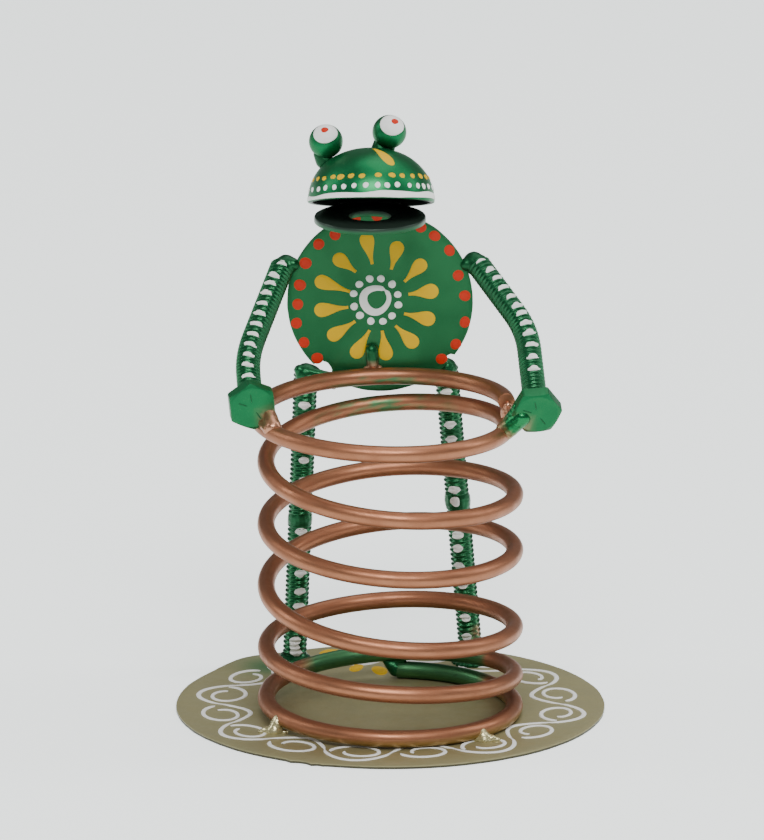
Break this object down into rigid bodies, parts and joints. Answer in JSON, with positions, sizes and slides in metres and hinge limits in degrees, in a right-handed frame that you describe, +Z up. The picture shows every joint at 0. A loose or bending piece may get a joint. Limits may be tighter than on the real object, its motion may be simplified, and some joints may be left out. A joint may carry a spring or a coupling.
{
  "type": "desk pen holder",
  "caption": "Welded metal frog on a round sheet plate, holding a wide open coil spring that serves as a cup for pens.",
  "frame": {"origin": "centre of the underside of the round base plate, on the surface it stands on", "axes": "+Z up, -Y out of the frog's front, past the coil it holds; +X to the right of a person facing the frog"},
  "size_m": [0.108, 0.108, 0.1482],
  "materials": {
    "plate_gold": "dull antique gold spray paint on sheet steel, with thin white scrolls round the edge",
    "coil_copper": "satin copper-coloured metallic paint on steel wire",
    "frog_green": "glossy pearl green paint with hand-painted dots and petals",
    "eye_paint": "glossy green paint with a white cap and a small red pupil",
    "weld_green": "lumpy weld metal under dark green gloss paint",
    "weld_copper": "weld metal under copper-coloured paint",
    "weld_gold": "weld metal under pale gold paint"
  },
  "bodies": {
    "root": {"base_plate": "plate_gold", "coil_spring": "coil_copper", "torso_disc": "frog_green", "jaw_washer": "frog_green", "head_dome": "frog_green", "left_eye_ball": "eye_paint", "right_eye_ball": "eye_paint", "left_arm_bolt": "frog_green", "right_arm_bolt": "frog_green", "left_thigh_rod": "frog_green", "right_thigh_rod": "frog_green", "left_shin_rod": "frog_green", "right_shin_rod": "frog_green", "left_eye_weld": "weld_green", "right_eye_weld": "weld_green", "mouth_weld": "weld_green", "neck_weld": "weld_green", "left_shoulder_weld": "weld_green", "right_shoulder_weld": "weld_green", "left_hip_weld": "weld_green", "right_hip_weld": "weld_green", "left_knee_weld": "weld_green", "right_knee_weld": "weld_green", "left_foot_weld": "weld_green", "right_foot_weld": "weld_green", "left_hand_weld": "weld_copper", "right_hand_weld": "weld_copper", "belly_weld": "weld_green", "coil_start_weld": "weld_green", "coil_finish_weld": "weld_copper", "left_base_weld": "weld_gold", "right_base_weld": "weld_gold"}
  },
  "joints": []
}
